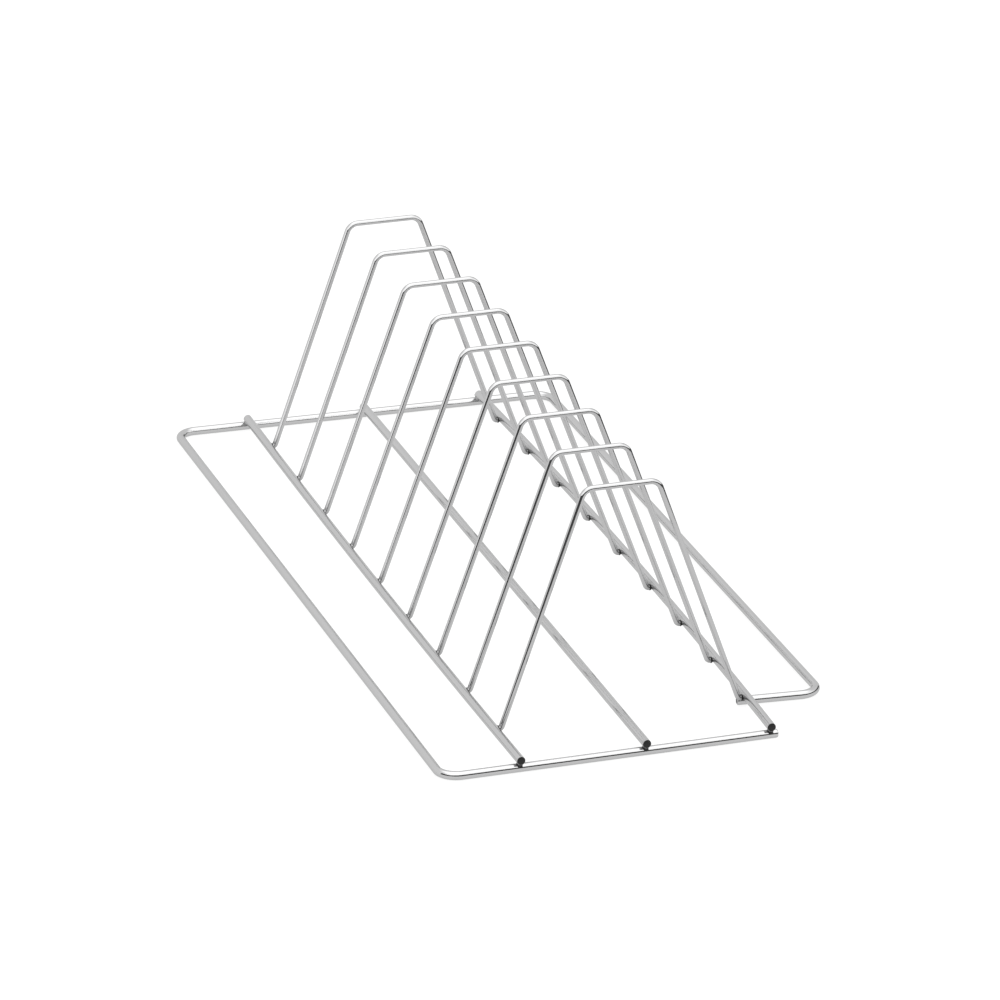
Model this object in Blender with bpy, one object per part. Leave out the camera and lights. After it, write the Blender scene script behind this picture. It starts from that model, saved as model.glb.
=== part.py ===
"""Welded round-wire rack for standing plates, lids or trays on edge.

Thirteen wires: one bent outer frame, three long rods laid on top of it, and nine
trapezoid dividers whose feet meet the inner sides of the two outer rods.
Metres, +Z up, +Y along the rods (away from the notched end), origin at the centre
of the bounding box's bottom.
"""
import math

import bmesh
import bpy
from mathutils import Matrix, Vector

# ---- driving dimensions -------------------------------------------------------
PITCH = 0.050            # divider to divider
DIVIDERS = 9
FRAME_WIRE = 0.0045      # frame and rod wire diameter
DIVIDER_WIRE = 0.0030    # divider wire diameter
GAP = 0.0003             # clearance that stands for each weld seam

FRAME_WIDTH = 0.2105     # between side wire centre lines, at the far end
FRAME_LENGTH = 0.4850    # left side wire, between end wire centre lines
FRAME_BEND = 0.010       # centre-line radius of the frame's corners
# the welded frame is a little out of square
RIGHT_SPLAY = 0.0020     # right side wire's near end, out from square
NEAR_SLEW = 0.0018       # near wire's free end, away from the near side
FAR_SLEW = 0.0052        # far wire's right end, towards the near side

ROD_SPACING = 0.06545    # rod to rod, at their ends
LEFT_STRIP = 0.0394      # left side wire to left rod
LEFT_BOW = 0.0018        # the dividers push the outer rods apart at mid length
RIGHT_BOW = 0.0038
ROD_NEAR_PAST = 0.0030   # rods run this far past the near wire's centre line
ROD_FAR_SHORT = 0.0025   # and stop this far short of the far wire's centre line

FIRST_GAP = 0.0405       # near wire to the nearest divider
SHORT_CROSS_GAP = 0.0424  # near wire to the notch's corner with the short cross wire
SHORT_CROSS_FREE = 0.0457  # near wire to the short cross wire where the right rod crosses it
NEAR_END_PAST = 0.0042   # free end of the near wire beyond the right rod
SHORT_END_PAST = 0.0018  # free end of the short cross wire inside the right rod

TOP_Z = 0.1286           # centre line of the dividers' top bars
TOP_HALF = 0.0191        # half the top bar, to the corner before bending
TOP_BEND = 0.0060        # centre-line radius of the top corners
FOOT_DROP = 0.0008       # foot centre line below the rod's centre line
FOOT_OFFSET = 0.00402    # foot corner to rod centre line, before bending
FOOT_BEND = 0.0019       # centre-line radius of the foot bends
FOOT_REACH = 0.00258     # cut end of the foot to the rod's centre line

FACETS = 12
ARC_STEPS = 6
ROD_STEPS = 24

# ---- derived positions, from the near left corner ------------------------------
FRAME_Z = FRAME_WIRE / 2
ROD_Z = FRAME_Z + FRAME_WIRE + GAP
FOOT_Z = ROD_Z - FOOT_DROP
RODS = {
    "rod_left": (LEFT_STRIP, -LEFT_BOW),
    "rod_middle": (LEFT_STRIP + ROD_SPACING, 0.0),
    "rod_right": (LEFT_STRIP + 2 * ROD_SPACING, RIGHT_BOW),
}
RIGHT_ROD_X = RODS["rod_right"][0]


def near_wire_y(x):
    return NEAR_SLEW * x / (RIGHT_ROD_X + NEAR_END_PAST)


def far_wire_y(x):
    return FRAME_LENGTH - FAR_SLEW * x / FRAME_WIDTH


def rod_x(rod, y):
    """Across position of a rod's centre line: a shallow arch from end to end."""
    x, bow = RODS[rod]
    part = y / FRAME_LENGTH
    return x + bow * 4 * part * (1 - part)


def clear_scene():
    for old in list(bpy.data.objects):
        bpy.data.objects.remove(old, do_unlink=True)


def steel(name, roughness):
    material = bpy.data.materials.new(name)
    material.use_nodes = True
    shader = material.node_tree.nodes["Principled BSDF"]
    shader.inputs["Base Color"].default_value = (0.72, 0.72, 0.73, 1.0)
    shader.inputs["Metallic"].default_value = 1.0
    shader.inputs["Roughness"].default_value = roughness
    return material


def rounded(corners, radii):
    """Points along a wire's centre line: straight runs joined by arcs of the given radii."""
    points = [corners[0]]
    for before, corner, after, radius in zip(corners, corners[1:], corners[2:], radii):
        back = (before - corner).normalized()
        ahead = (after - corner).normalized()
        half = math.acos(max(-1.0, min(1.0, back.dot(ahead)))) / 2
        reach = radius / math.tan(half)
        centre = corner + (back + ahead).normalized() * (radius / math.sin(half))
        start = corner + back * reach - centre
        end = corner + ahead * reach - centre
        turn = math.pi - 2 * half
        for step in range(ARC_STEPS + 1):
            part = step / ARC_STEPS
            spoke = (start * math.sin((1 - part) * turn) + end * math.sin(part * turn)) / math.sin(turn)
            points.append(centre + spoke)
    points.append(corners[-1])
    return points


def wire(name, points, diameter, plane_normal, material):
    """Sweep a round section along a planar centre line; one facet looks along plane_normal."""
    mesh = bpy.data.meshes.new(name)
    work = bmesh.new()
    reach = diameter / 2 / math.cos(math.pi / FACETS)
    rings = []
    for index, point in enumerate(points):
        ahead = (points[min(index + 1, len(points) - 1)] - point)
        back = (point - points[max(index - 1, 0)])
        if index == 0:
            tangent = ahead.normalized()
            stretch = 1.0
        elif index == len(points) - 1:
            tangent = back.normalized()
            stretch = 1.0
        else:
            tangent = (ahead.normalized() + back.normalized()).normalized()
            stretch = 1.0 / tangent.dot(ahead.normalized())
        side = tangent.cross(plane_normal).normalized()
        ring = []
        for facet in range(FACETS):
            angle = (facet + 0.5) * 2 * math.pi / FACETS
            out = side * (math.cos(angle) * stretch) + plane_normal * math.sin(angle)
            ring.append(work.verts.new(point + out * reach))
        rings.append(ring)
    for first, second in zip(rings, rings[1:]):
        for facet in range(FACETS):
            following = (facet + 1) % FACETS
            work.faces.new((first[facet], first[following], second[following], second[facet]))
    work.faces.new(list(reversed(rings[0])))
    work.faces.new(rings[-1])
    bmesh.ops.recalc_face_normals(work, faces=work.faces)
    work.to_mesh(mesh)
    work.free()
    mesh.materials.append(material)
    mesh.shade_smooth()
    mesh.set_sharp_from_angle(angle=math.radians(40))
    node = bpy.data.objects.new(name, mesh)
    bpy.context.scene.collection.objects.link(node)
    return node


def build_frame(material):
    """One bent wire, open at the notch: both free ends lie under the right rod."""
    free_x = RIGHT_ROD_X + NEAR_END_PAST
    notch_x = FRAME_WIDTH + RIGHT_SPLAY
    slope = (SHORT_CROSS_FREE - SHORT_CROSS_GAP) / (notch_x - RIGHT_ROD_X)
    corners = [
        Vector((free_x, near_wire_y(free_x), FRAME_Z)),
        Vector((0, 0, FRAME_Z)),
        Vector((0, FRAME_LENGTH, FRAME_Z)),
        Vector((FRAME_WIDTH, far_wire_y(FRAME_WIDTH), FRAME_Z)),
        Vector((notch_x, SHORT_CROSS_GAP, FRAME_Z)),
        Vector((RIGHT_ROD_X - SHORT_END_PAST, SHORT_CROSS_FREE + slope * SHORT_END_PAST, FRAME_Z)),
    ]
    points = rounded(corners, [FRAME_BEND] * 4)
    wire("outer_frame", points, FRAME_WIRE, Vector((0, 0, 1)), material)


def build_rods(material):
    for rod, (end_x, bow) in RODS.items():
        near = near_wire_y(end_x) - ROD_NEAR_PAST
        far = far_wire_y(end_x) - ROD_FAR_SHORT
        points = []
        for step in range(ROD_STEPS + 1):
            y = near + (far - near) * step / ROD_STEPS
            points.append(Vector((rod_x(rod, y), y, ROD_Z)))
        wire(rod, points, FRAME_WIRE, Vector((0, 0, 1)), material)


def build_dividers(material):
    """Divider 1 is the farthest from the notch; each spans the outer rods where it stands."""
    for number in range(1, DIVIDERS + 1):
        y = FIRST_GAP + (DIVIDERS - number) * PITCH
        left = rod_x("rod_left", y)
        right = rod_x("rod_right", y)
        middle = (left + right) / 2
        corners = [
            Vector((left + FOOT_REACH, y, FOOT_Z)),
            Vector((left + FOOT_OFFSET, y, FOOT_Z)),
            Vector((middle - TOP_HALF, y, TOP_Z)),
            Vector((middle + TOP_HALF, y, TOP_Z)),
            Vector((right - FOOT_OFFSET, y, FOOT_Z)),
            Vector((right - FOOT_REACH, y, FOOT_Z)),
        ]
        points = rounded(corners, [FOOT_BEND, TOP_BEND, TOP_BEND, FOOT_BEND])
        wire("divider_%d" % number, points, DIVIDER_WIRE, Vector((0, 1, 0)), material)


def centre_on_origin():
    """Shift every wire so that the whole rack's bounding box is centred on the Z axis."""
    wires = list(bpy.context.scene.objects)
    spots = [vertex.co for node in wires for vertex in node.data.vertices]
    xs = [spot.x for spot in spots]
    ys = [spot.y for spot in spots]
    shift = Vector((-(min(xs) + max(xs)) / 2, -(min(ys) + max(ys)) / 2, 0))
    for node in wires:
        node.data.transform(Matrix.Translation(shift))


clear_scene()
build_frame(steel("frame_steel", 0.28))
build_rods(steel("rod_steel", 0.30))
build_dividers(steel("divider_steel", 0.24))
centre_on_origin()
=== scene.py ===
"""Looks of the welded wire rack: smooth drawn-steel wires, cut ends and weld beads
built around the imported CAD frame, in metres, in the CAD's own frame."""
import math

import bpy
import numpy as np
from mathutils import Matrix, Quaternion, Vector, noise


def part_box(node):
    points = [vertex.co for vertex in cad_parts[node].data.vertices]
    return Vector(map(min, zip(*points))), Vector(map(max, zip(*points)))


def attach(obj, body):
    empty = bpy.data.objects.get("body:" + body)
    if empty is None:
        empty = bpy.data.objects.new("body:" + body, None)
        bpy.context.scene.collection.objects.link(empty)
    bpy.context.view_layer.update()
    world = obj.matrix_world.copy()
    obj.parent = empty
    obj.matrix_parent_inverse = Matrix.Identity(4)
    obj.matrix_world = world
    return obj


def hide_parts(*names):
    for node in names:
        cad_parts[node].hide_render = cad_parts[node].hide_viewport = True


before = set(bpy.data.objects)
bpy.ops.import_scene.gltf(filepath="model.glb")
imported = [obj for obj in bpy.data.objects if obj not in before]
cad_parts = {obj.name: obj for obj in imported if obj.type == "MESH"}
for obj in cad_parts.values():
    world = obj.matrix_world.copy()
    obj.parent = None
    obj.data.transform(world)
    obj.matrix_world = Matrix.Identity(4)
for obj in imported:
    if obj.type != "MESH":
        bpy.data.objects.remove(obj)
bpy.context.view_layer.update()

# ---- driving dimensions, as the CAD part has them ----------------------------------
DIVIDERS = 9
FRAME_BEND = 0.010
RIGHT_SPLAY = 0.0020
LEFT_BOW = 0.0018
RIGHT_BOW = 0.0038
NEAR_SLEW = 0.0018
FAR_SLEW = 0.0052
SHORT_CROSS_GAP = 0.0424
SHORT_CROSS_FREE = 0.0457
NEAR_END_PAST = 0.0042
SHORT_END_PAST = 0.0018
TOP_HALF = 0.0191
TOP_BEND = 0.0060
FOOT_TAIL = 0.00144
FOOT_BEND = 0.0019
FOOT_GAP = 0.0003

# ---- the rest is read from the frame -----------------------------------------------
frame_low, frame_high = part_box("outer_frame")
WIRE_R = (frame_high.z - frame_low.z) / 2
FRAME_Z = frame_low.z + WIRE_R
LEFT = frame_low.x + WIRE_R
NEAR = frame_low.y + WIRE_R
FAR = frame_high.y - WIRE_R
NOTCH_X = frame_high.x - WIRE_R
RIGHT = NOTCH_X - RIGHT_SPLAY

divider_boxes = [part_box("divider_%d" % number) for number in range(1, DIVIDERS + 1)]
DIVIDER_R = (divider_boxes[0][1].y - divider_boxes[0][0].y) / 2
FOOT_Z = divider_boxes[0][0].z + DIVIDER_R
TOP_Z = divider_boxes[0][1].z - DIVIDER_R


class Rod:
    """A long rod: where it lies across the rack, and its two ends."""

    def __init__(self, node, bow):
        low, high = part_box(node)
        self.bow = bow
        self.end_x = high.x - WIRE_R if bow < 0 else low.x + WIRE_R
        tilt = WIRE_R * 4 * abs(bow) / (high.y - low.y)
        self.near, self.far = low.y + tilt, high.y - tilt
        self.z = (low.z + high.z) / 2

    def x(self, y):
        part = (y - self.near) / (self.far - self.near)
        return self.end_x + self.bow * 4 * part * (1 - part)


rods = {
    "rod_left": Rod("rod_left", -LEFT_BOW),
    "rod_middle": Rod("rod_middle", 0.0),
    "rod_right": Rod("rod_right", RIGHT_BOW),
}
right_rod = rods["rod_right"]
ROD_Z = rods["rod_left"].z
FREE_X = right_rod.end_x + NEAR_END_PAST
SHORT_FREE_X = right_rod.end_x - SHORT_END_PAST
SEAM_Z = (FRAME_Z + ROD_Z) / 2


def near_wire_y(x):
    return NEAR + NEAR_SLEW * (x - LEFT) / (FREE_X - LEFT)


def far_wire_y(x):
    return FAR - FAR_SLEW * (x - LEFT) / (RIGHT - LEFT)


def short_wire_y(x):
    slope = (SHORT_CROSS_FREE - SHORT_CROSS_GAP) / (NOTCH_X - right_rod.end_x)
    return NEAR + SHORT_CROSS_GAP + slope * (NOTCH_X - x)


# ---- mesh resolution and the roll-over of a cut end --------------------------------
SIDES = 32
ARC_STEP = math.radians(5)
RUN_STEP = 0.006
ROD_STEPS = 60
SHARP_ANGLE = math.radians(38)
# shares of the easing: how far in from the cut, and how much is off the radius there
ROLL_OVER = ((0.0, 1.0), (0.3, 0.3), (1.0, 0.0), (1.6, 0.0))

# ---- how far the dark weld smut and the painted crevice shade reach from each kind of weld ---
CROSSING_SMUT = 0.0018
# the wider reach round the divider feet paints the shade of the crevice between leg and rod
FOOT_SMUT_AND_CREVICE_SHADE = 0.0042


# ---- materials ---------------------------------------------------------------------
def grey(value):
    return (value, value, value, 1)


def node(tree, kind, **settings):
    made = tree.nodes.new(kind)
    for key, value in settings.items():
        setattr(made, key, value)
    return made


def fill(made, **values):
    """Set a node's inputs by name, with underscores for the spaces."""
    for key, value in values.items():
        made.inputs[key.replace("_", " ")].default_value = value


def new_material(name):
    material = bpy.data.materials.new(name)
    material.use_nodes = True
    return material, material.node_tree, material.node_tree.nodes["Principled BSDF"]


def ramp(tree, pattern, *stops):
    """Colour ramp over a pattern, as (position, colour) stops."""
    shade = node(tree, "ShaderNodeValToRGB")
    for element, (position, colour) in zip(shade.color_ramp.elements, stops):
        element.position = position
        element.color = colour
    tree.links.new(pattern, shade.inputs["Fac"])
    return shade.outputs["Color"]


def relief(tree, pattern, shader, strength, distance):
    """Bump from a pattern, on the shader's normal."""
    bump = node(tree, "ShaderNodeBump")
    fill(bump, Strength=strength, Distance=distance)
    tree.links.new(pattern, bump.inputs["Height"])
    tree.links.new(bump.outputs["Normal"], shader.inputs["Normal"])


def remap(tree, value, start, end, to_start=0.0, to_end=1.0, **settings):
    """Map a value from start..end to to_start..to_end."""
    scale = node(tree, "ShaderNodeMapRange", **settings)
    fill(scale, From_Min=start, From_Max=end, To_Min=to_start, To_Max=to_end)
    tree.links.new(value, scale.inputs["Value"])
    return scale.outputs["Result"]


def drawn_steel(name, base, roughness, streak_scale):
    """Bright drawn wire: lengthwise die lines, soft mottling, dark smut close to the welds and
    painted crevice shade round the divider feet.

    The wire's UV map runs in metres, U along the wire and V round it."""
    material, tree, shader = new_material(name)
    link = tree.links.new

    uv = node(tree, "ShaderNodeUVMap", uv_map="along_and_round")
    stretch = node(tree, "ShaderNodeMapping")
    fill(stretch, Scale=(6.0, streak_scale, 1.0))
    link(uv.outputs["UV"], stretch.inputs["Vector"])
    lines = node(tree, "ShaderNodeTexNoise", noise_dimensions="2D")
    fill(lines, Scale=1.0, Detail=4.0, Roughness=0.6)
    link(stretch.outputs["Vector"], lines.inputs["Vector"])

    place = node(tree, "ShaderNodeTexCoord")
    mottle = node(tree, "ShaderNodeTexNoise")
    fill(mottle, Scale=90.0, Detail=3.0)
    link(place.outputs["Object"], mottle.inputs["Vector"])

    weld_smut_and_shade = node(tree, "ShaderNodeAttribute", attribute_name="weld_smut_and_shade")

    shade = ramp(
        tree, lines.outputs["Fac"],
        (0.30, (base * 0.96, base * 0.96, base * 0.965, 1)),
        (0.70, (base * 1.03, base * 1.03, base * 1.035, 1)),
    )
    # painted shade: the mask darkens the steel towards near black, as smut at the crossing welds
    # and as crevice shade round the divider feet
    darken = node(tree, "ShaderNodeMix", data_type="RGBA")
    link(weld_smut_and_shade.outputs["Fac"], darken.inputs["Factor"])
    link(shade, darken.inputs["A"])
    darken.inputs["B"].default_value = grey(0.05)
    link(darken.outputs["Result"], shader.inputs["Base Color"])

    gloss = remap(tree, mottle.outputs["Fac"], 0.3, 0.7, roughness * 0.75, roughness * 1.25)
    rougher = node(tree, "ShaderNodeMath", operation="MULTIPLY_ADD")
    link(weld_smut_and_shade.outputs["Fac"], rougher.inputs[0])
    rougher.inputs[1].default_value = 0.30
    link(gloss, rougher.inputs[2])
    link(rougher.outputs["Value"], shader.inputs["Roughness"])

    relief(tree, lines.outputs["Fac"], shader, 0.03, 0.00005)
    fill(shader, Metallic=1.0, Specular_Tint=grey(0.75))
    return material


def cut_steel(name):
    """Sheared wire end: dark, dull and scored across by the blade."""
    material, tree, shader = new_material(name)
    place = node(tree, "ShaderNodeTexCoord")
    score = node(tree, "ShaderNodeTexWave", bands_direction="Z")
    fill(score, Scale=700.0, Distortion=3.0, Detail=2.0)
    tree.links.new(place.outputs["Object"], score.inputs["Vector"])
    shade = ramp(tree, score.outputs["Fac"], (0.0, grey(0.022)), (1.0, grey(0.045)))
    tree.links.new(shade, shader.inputs["Base Color"])
    relief(tree, score.outputs["Fac"], shader, 0.25, 0.00005)
    fill(shader, Metallic=1.0, Roughness=0.45)
    return material


def weld_steel(name, tone):
    """Resistance weld: metal squeezed out between the wires, uneven and slightly rough."""
    material, tree, shader = new_material(name)
    place = node(tree, "ShaderNodeTexCoord")
    grain = node(tree, "ShaderNodeTexNoise")
    fill(grain, Scale=900.0, Detail=4.0)
    tree.links.new(place.outputs["Object"], grain.inputs["Vector"])
    shade = ramp(
        tree, grain.outputs["Fac"], (0.35, grey(tone * 0.6)), (0.75, grey(tone * 1.4)),
    )
    tree.links.new(shade, shader.inputs["Base Color"])
    relief(tree, grain.outputs["Fac"], shader, 0.2, 0.0001)
    fill(shader, Metallic=1.0, Roughness=0.55)
    return material


def matte(name, base, glow):
    """Dull surface of the studio, with a glow of its own."""
    material, tree, shader = new_material(name)
    fill(shader, Base_Color=grey(base), Roughness=0.9)
    fill(shader, Emission_Color=grey(1.0), Emission_Strength=glow)
    return material, shader


bright_frame = drawn_steel("frame_drawn_steel", 0.475, 0.08, 2600.0)
bright_rod = drawn_steel("rod_drawn_steel", 0.475, 0.09, 2600.0)
bright_divider = drawn_steel("divider_drawn_steel", 0.45, 0.08, 3200.0)
cut_end = cut_steel("sheared_end")
# the near-black copy is painted shade, for the necks under the rod ends and the feet in their
# crevices; the bright copy keeps the weld's own light tone
dark_weld_painted_shade = weld_steel("weld_metal_painted_shade", 0.035)
bright_weld = weld_steel("weld_metal_bright", 0.36)


# ---- meshes ------------------------------------------------------------------------
def tube_faces(rings, around):
    """Quads between the rings of a tube, then one flat face over each end."""
    faces = []
    for ring in range(rings - 1):
        for step in range(around):
            following = (step + 1) % around
            faces.append((
                ring * around + step,
                ring * around + following,
                (ring + 1) * around + following,
                (ring + 1) * around + step,
            ))
    last = (rings - 1) * around
    faces.append(tuple(reversed(range(around))))
    faces.append(tuple(range(last, last + around)))
    return faces


def new_piece(name, mesh):
    piece = bpy.data.objects.new(name, mesh)
    bpy.context.scene.collection.objects.link(piece)
    return piece


def add(piece, slot, *nodes):
    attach(piece, "root")
    if nodes:
        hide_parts(*nodes)


def centre_line(corners, radii):
    """Evenly stepped points of a bent wire's centre line: straight runs joined by arcs."""
    runs = []
    cursor = corners[0]
    for before, corner, after, radius in zip(corners, corners[1:], corners[2:], radii):
        back = (before - corner).normalized()
        ahead = (after - corner).normalized()
        half = back.angle(ahead) / 2
        centre = corner + (back + ahead).normalized() * (radius / math.sin(half))
        start = corner + back * (radius / math.tan(half))
        end = corner + ahead * (radius / math.tan(half))
        runs.append((cursor, start))
        runs.append((start - centre, end - centre, centre))
        cursor = end
    runs.append((cursor, corners[-1]))

    points = [corners[0]]
    for first, last, *arc_centre in runs:
        if arc_centre:
            turn = first.angle(last)
            axis = first.cross(last)
            steps = math.ceil(turn / ARC_STEP)
            for step in range(1, steps + 1):
                points.append(arc_centre[0] + Quaternion(axis, turn * step / steps) @ first)
        else:
            steps = max(1, math.ceil((last - first).length / RUN_STEP))
            points += [first.lerp(last, step / steps) for step in range(1, steps + 1)]
    return points


def weld_smut_and_shade_at(place):
    """How dark the metal is at a place, from the welds' places and reaches: weld smut at the
    crossings, painted crevice shade round the divider feet.
    """
    dark = 0.0
    for weld, reach in welds:
        gap = (place - weld).length / reach
        if gap < 1:
            dark = max(dark, (1 - gap) ** 1.5)
    return dark


def wire_rings(points, radius, ease):
    """Each ring along a wire: centre, direction, radius and distance from the start."""
    rings = []
    along = 0.0
    for index, point in enumerate(points):
        if index:
            along += (point - points[index - 1]).length
        before = points[max(index - 1, 0)]
        after = points[min(index + 1, len(points) - 1)]
        rings.append((point, (after - before).normalized(), radius, along))

    first, first_way = rings[0][:2]
    last, last_way = rings[-1][:2]
    rings[:1] = [
        (first + first_way * ease * inset, first_way, radius - ease * off, ease * inset)
        for inset, off in ROLL_OVER
    ]
    rings[-1:] = [
        (last - last_way * ease * inset, last_way, radius - ease * off, along - ease * inset)
        for inset, off in reversed(ROLL_OVER)
    ]
    return rings


def wire(name, corners, radii, radius, plane_normal, metal, seed, easing):
    """A round wire with eased, cut ends, swept along its centre line.

    The seed starts its UV map elsewhere along the pattern, so no two wires look alike."""
    points = [Vector(corner) for corner in corners]
    if radii:
        points = centre_line(points, radii)
    normal = Vector(plane_normal)
    rings = wire_rings(points, radius, radius * easing)

    vertices = []
    weld_smut_and_shade = []
    for point, tangent, ring_radius, distance in rings:
        side = tangent.cross(normal).normalized()
        for step in range(SIDES):
            angle = 2 * math.pi * step / SIDES
            place = point + (side * math.cos(angle) + normal * math.sin(angle)) * ring_radius
            vertices.append(place)
            weld_smut_and_shade.append(weld_smut_and_shade_at(place))

    uvs = []
    for ring, following in zip(rings, rings[1:]):
        along_a = ring[3] + seed
        along_b = following[3] + seed
        for step in range(SIDES):
            round_a = 2 * math.pi * radius * step / SIDES
            round_b = 2 * math.pi * radius * (step + 1) / SIDES
            uvs += [(along_a, round_a), (along_a, round_b)]
            uvs += [(along_b, round_b), (along_b, round_a)]
    uvs += [(seed, 0.0)] * (2 * SIDES)
    cut = [0] * ((len(rings) - 1) * SIDES) + [1, 1]

    mesh = bpy.data.meshes.new(name)
    mesh.from_pydata([tuple(v) for v in vertices], [], tube_faces(len(rings), SIDES))
    layer = mesh.uv_layers.new(name="along_and_round")
    layer.data.foreach_set("uv", np.array(uvs, np.float32).ravel())
    # per-vertex mask of weld smut and painted crevice shade
    attribute = mesh.attributes.new("weld_smut_and_shade", "FLOAT", "POINT")
    attribute.data.foreach_set("value", np.array(weld_smut_and_shade, np.float32))
    mesh.materials.append(metal)
    mesh.materials.append(cut_end)
    mesh.polygons.foreach_set("material_index", cut)
    mesh.shade_smooth()
    mesh.set_sharp_from_angle(angle=SHARP_ANGLE)
    mesh.validate()
    return new_piece(name, mesh)


def bead(name, rings, material):
    """A closed lump of weld metal from its rings of points."""
    vertices = [place for ring in rings for place in ring]
    mesh = bpy.data.meshes.new(name)
    mesh.from_pydata(vertices, [], tube_faces(len(rings), len(rings[0])))
    mesh.materials.append(material)
    mesh.shade_smooth()
    mesh.validate()
    return new_piece(name, mesh)


def crossing_bead(name, centre, front, back, half_width, material):
    """The neck of squeezed metal that joins a rod to the frame wire below it.

    It reaches front towards the near side and back towards the far side."""
    around = 40
    levels = 12
    bottom = FRAME_Z + WIRE_R * 0.15
    top = ROD_Z - WIRE_R * 0.30
    rings = []
    for level in range(levels + 1):
        share = level / levels
        flare = 1 + 0.30 * abs(2 * share - 1) ** 2.5
        reach = front * (0.80 + 0.20 * min(1.0, share * 1.5))
        middle = (back - reach) / 2
        depth = (back + reach) / 2
        ring = []
        for step in range(around):
            angle = 2 * math.pi * step / around
            across = math.cos(angle)
            along = math.sin(angle)
            squareness = (across ** 4 + along ** 4) ** -0.25
            wobble = 1 + 0.05 * noise.noise(Vector((centre.x * 90, angle, share * 1.5)))
            x = half_width * flare * wobble * squareness * across
            y = middle + depth * squareness * along
            ring.append((centre.x + x, centre.y + y, bottom + (top - bottom) * share))
        rings.append(ring)
    return bead(name, rings, material)


def foot_bead(name, centre, outward):
    """The small collar of weld metal between a divider's cut foot and its rod, painted near black
    as the shade in the crevice there.
    """
    around = 28
    levels = 8
    overlap = 0.0004
    length = 0.0013
    rings = []
    for level in range(levels + 1):
        share = level / levels
        spread = DIVIDER_R * (0.90 + 0.22 * math.sin(math.pi * min(1, share * 1.15)))
        ring = []
        for step in range(around):
            angle = 2 * math.pi * step / around
            wobble = 1 + 0.05 * noise.noise(Vector((centre.y * 120, angle * 1.3, outward)))
            x = outward * (-overlap + length * share)
            y = spread * wobble * math.cos(angle)
            z = spread * wobble * math.sin(angle)
            ring.append((centre.x + x, centre.y + y, centre.z + z))
        rings.append(ring)
    return bead(name, rings, dark_weld_painted_shade)


# ---- where the welds are -----------------------------------------------------------
crossings = {}
for name, rod in rods.items():
    label = name.removeprefix("rod_")
    for end, wire_y in (("near", near_wire_y), ("far", far_wire_y)):
        y = wire_y(rod.end_x)
        crossings[label + "_" + end] = Vector((rod.x(y), y, SEAM_Z))
short_y = short_wire_y(right_rod.end_x)
crossings["right_short"] = Vector((right_rod.x(short_y), short_y, SEAM_Z))

welds = [(centre, CROSSING_SMUT) for centre in crossings.values()]
for low, high in divider_boxes:
    middle_y = (low.y + high.y) / 2
    # each foot weld spreads painted crevice shade onto its leg and rod
    welds.append((Vector((low.x - FOOT_GAP, middle_y, FOOT_Z)), FOOT_SMUT_AND_CREVICE_SHADE))
    welds.append((Vector((high.x + FOOT_GAP, middle_y, FOOT_Z)), FOOT_SMUT_AND_CREVICE_SHADE))

# ---- the rack ----------------------------------------------------------------------
frame_wire = wire(
    "frame_wire",
    [
        (FREE_X, near_wire_y(FREE_X), FRAME_Z),
        (LEFT, NEAR, FRAME_Z),
        (LEFT, FAR, FRAME_Z),
        (RIGHT, far_wire_y(RIGHT), FRAME_Z),
        (NOTCH_X, short_wire_y(NOTCH_X), FRAME_Z),
        (SHORT_FREE_X, short_wire_y(SHORT_FREE_X), FRAME_Z),
    ],
    [FRAME_BEND] * 4,
    WIRE_R, (0, 0, 1), bright_frame, seed=0.0, easing=0.30,
)
add(frame_wire, "frame_steel", "outer_frame")

for number, (name, rod) in enumerate(rods.items()):
    path = []
    for step in range(ROD_STEPS + 1):
        y = rod.near + (rod.far - rod.near) * step / ROD_STEPS
        path.append((rod.x(y), y, ROD_Z))
    rod_wire = wire(
        name + "_wire", path, None,
        WIRE_R, (0, 0, 1), bright_rod, seed=3.0 + number, easing=0.05,
    )
    add(rod_wire, "rod_steel", name)

for number, (low, high) in enumerate(divider_boxes, start=1):
    middle_x = (low.x + high.x) / 2
    middle_y = (low.y + high.y) / 2
    divider_wire = wire(
        "divider_wire_%d" % number,
        [
            (low.x, middle_y, FOOT_Z),
            (low.x + FOOT_TAIL, middle_y, FOOT_Z),
            (middle_x - TOP_HALF, middle_y, TOP_Z),
            (middle_x + TOP_HALF, middle_y, TOP_Z),
            (high.x - FOOT_TAIL, middle_y, FOOT_Z),
            (high.x, middle_y, FOOT_Z),
        ],
        [FOOT_BEND, TOP_BEND, TOP_BEND, FOOT_BEND],
        DIVIDER_R, (0, 1, 0), bright_divider, seed=10.0 + number, easing=0.10,
    )
    add(divider_wire, "divider_steel", "divider_%d" % number)

# the near and short necks, under the rod ends, get the weld metal painted near black as shade; the
# far necks keep the weld's own tone
bead_sizes = {
    "near": dict(front=0.00265, back=0.0012, half_width=0.00132, material=dark_weld_painted_shade),
    "far": dict(front=0.0019, back=-0.0002, half_width=0.00150, material=bright_weld),
    "short": dict(front=0.0017, back=0.0017, half_width=0.00120, material=dark_weld_painted_shade),
}
for label, centre in crossings.items():
    sizes = bead_sizes[label.split("_")[1]]
    add(crossing_bead("weld_" + label, centre, **sizes), "frame_steel")

for number, (low, high) in enumerate(divider_boxes, start=1):
    middle_y = (low.y + high.y) / 2
    left_end = Vector((low.x, middle_y, FOOT_Z))
    right_end = Vector((high.x, middle_y, FOOT_Z))
    add(foot_bead("foot_weld_left_%d" % number, left_end, -1), "divider_steel")
    add(foot_bead("foot_weld_right_%d" % number, right_end, 1), "divider_steel")


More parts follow.
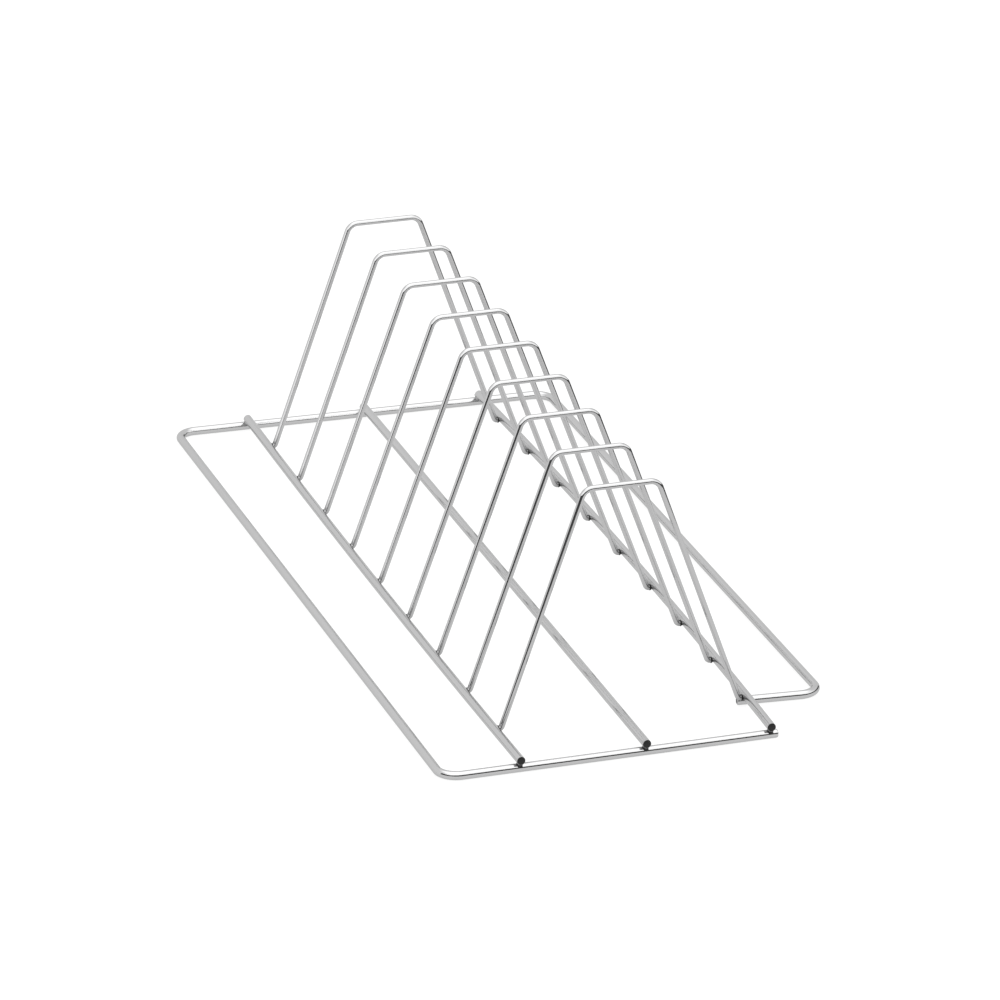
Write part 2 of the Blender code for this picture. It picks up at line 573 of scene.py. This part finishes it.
# ---- floor, light and camera -------------------------------------------------------
def floor():
    size = 3.0
    corners = [(-size, -size, 0), (size, -size, 0), (size, size, 0), (-size, size, 0)]
    mesh = bpy.data.meshes.new("floor")
    mesh.from_pydata(corners, [], [(0, 1, 2, 3)])
    material, shader = matte("pale_floor", base=0.14, glow=0.86)
    fill(shader, Specular_IOR_Level=0.1)
    mesh.materials.append(material)
    sheet = new_piece("floor", mesh)
    sheet.location.z = -0.0001


def curtain():
    """Low black cards along the near and right sides of the table, only seen in the metal.

    Bright wire needs something dark to reflect, or its roundness is lost."""
    height = 0.24
    corners = [(-0.50, -0.22), (-0.46, -0.62), (0.55, -0.62), (0.80, -0.30), (0.80, 0.40)]
    vertices = []
    for x, y in corners:
        vertices += [(x, y, 0.0), (x, y, height)]
    faces = [(2 * i, 2 * i + 2, 2 * i + 3, 2 * i + 1) for i in range(len(corners) - 1)]
    mesh = bpy.data.meshes.new("curtain")
    mesh.from_pydata(vertices, [], faces)
    mesh.materials.append(matte("black_card", base=0.02, glow=0.05)[0])
    cards = new_piece("curtain", mesh)
    cards.visible_camera = False
    cards.visible_diffuse = False
    cards.visible_shadow = False


def studio():
    """A white tent: an even back, a slightly dimmer right wall, and a bright roof and near side."""
    far_wall, near_wall, roof_light, right_wall = 1.18, 2.10, 2.35, 0.95
    world = bpy.data.worlds.new("studio")
    bpy.context.scene.world = world
    world.use_nodes = True
    tree = world.node_tree
    link = tree.links.new
    place = node(tree, "ShaderNodeTexCoord")
    split = node(tree, "ShaderNodeSeparateXYZ")
    link(place.outputs["Generated"], split.inputs["Vector"])

    smooth = dict(interpolation_type="SMOOTHSTEP")
    walls = remap(tree, split.outputs["Y"], 0.25, -0.55, far_wall, near_wall, **smooth)
    right = remap(tree, split.outputs["X"], 0.0, 0.40, 1.0, right_wall, **smooth)
    low_edge = math.sin(math.radians(45))
    high_edge = math.sin(math.radians(72))
    roof = remap(tree, split.outputs["Z"], low_edge, high_edge, **smooth)

    shaded = node(tree, "ShaderNodeMath", operation="MULTIPLY")
    link(walls, shaded.inputs[0])
    link(right, shaded.inputs[1])
    tent = node(tree, "ShaderNodeMix", data_type="FLOAT")
    link(roof, tent.inputs["Factor"])
    link(shaded.outputs["Value"], tent.inputs["A"])
    tent.inputs["B"].default_value = roof_light
    background = tree.nodes["Background"]
    link(tent.outputs["Result"], background.inputs["Strength"])
    background.inputs["Color"].default_value = grey(1)


def camera():
    """Long lens from the near left, a little above the rack."""
    azimuth = math.radians(-17.763)
    elevation = math.radians(21.949)
    distance = 4.1232
    target = Vector((-0.005815, -0.020366, 0.051491))
    back = Vector((
        math.sin(azimuth) * math.cos(elevation),
        -math.cos(azimuth) * math.cos(elevation),
        math.sin(elevation),
    ))
    data = bpy.data.cameras.new("camera")
    data.sensor_width = 36.0
    data.lens = 288.02
    data.clip_end = 50.0
    seen = new_piece("camera", data)
    seen.location = target + back * distance
    seen.rotation_euler = back.to_track_quat("Z", "Y").to_euler()
    bpy.context.scene.camera = seen


floor()
curtain()
studio()
camera()
bpy.context.scene.view_settings.view_transform = "Standard"
